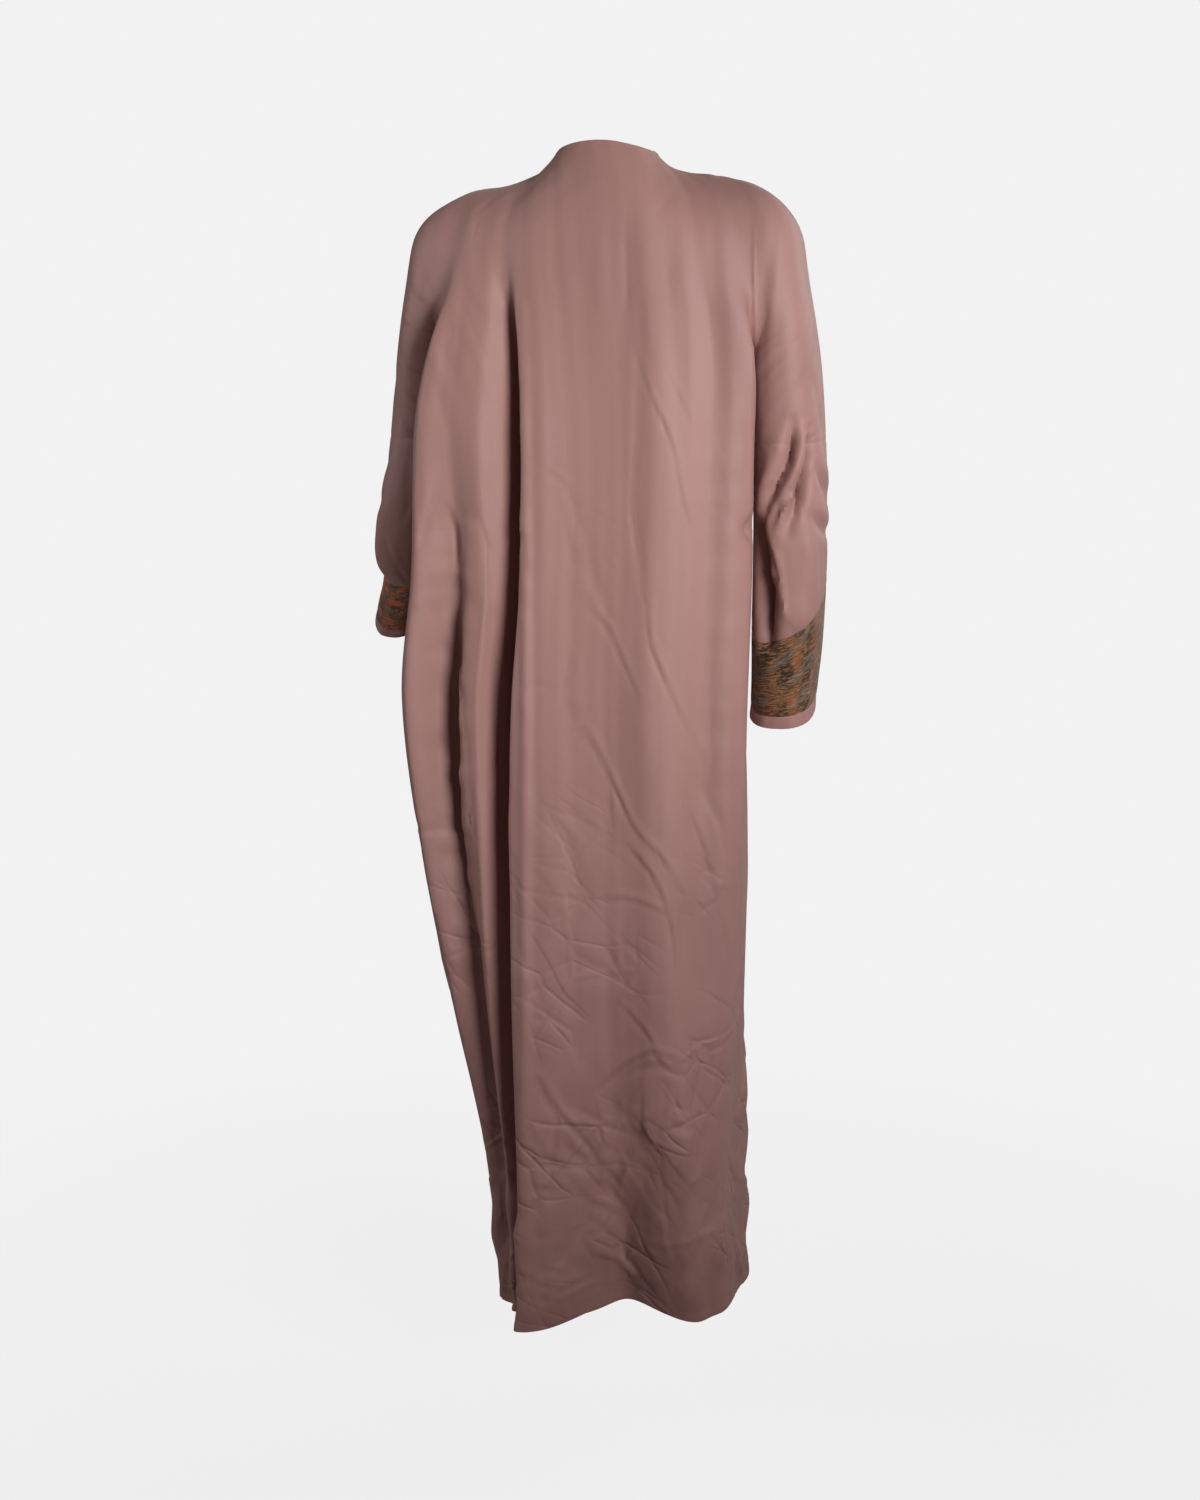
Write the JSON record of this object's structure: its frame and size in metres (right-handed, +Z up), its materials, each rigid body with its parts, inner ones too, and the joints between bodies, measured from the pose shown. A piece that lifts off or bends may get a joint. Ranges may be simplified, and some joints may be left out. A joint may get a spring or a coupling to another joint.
{
  "type": "abaya cloak",
  "caption": "Ankle-length batwing abaya cloak of satin crepe, open in front, with brocade cuffs, hollow in its worn form with both arms bent.",
  "frame": {"origin": "where the shoulders carry the cloak, midway between the two neck points of the shoulder seams", "axes": "+Z up, the cloak's front looks towards -Y, +X is the wearer's left"},
  "size_m": [0.5935, 0.3304, 1.4058],
  "materials": {
    "satin": "dusty rose satin crepe with a soft sheen",
    "brocade": "woven brocade of bronze, orange red and grey blue leaves on dark brown"
  },
  "bodies": {
    "root": {"back": "satin", "front_left": "satin", "front_right": "satin", "sleeve_left": "satin", "sleeve_right": "satin", "cuff_left": "brocade", "cuff_right": "brocade", "cuff_band_left": "satin", "cuff_band_right": "satin"}
  },
  "joints": []
}
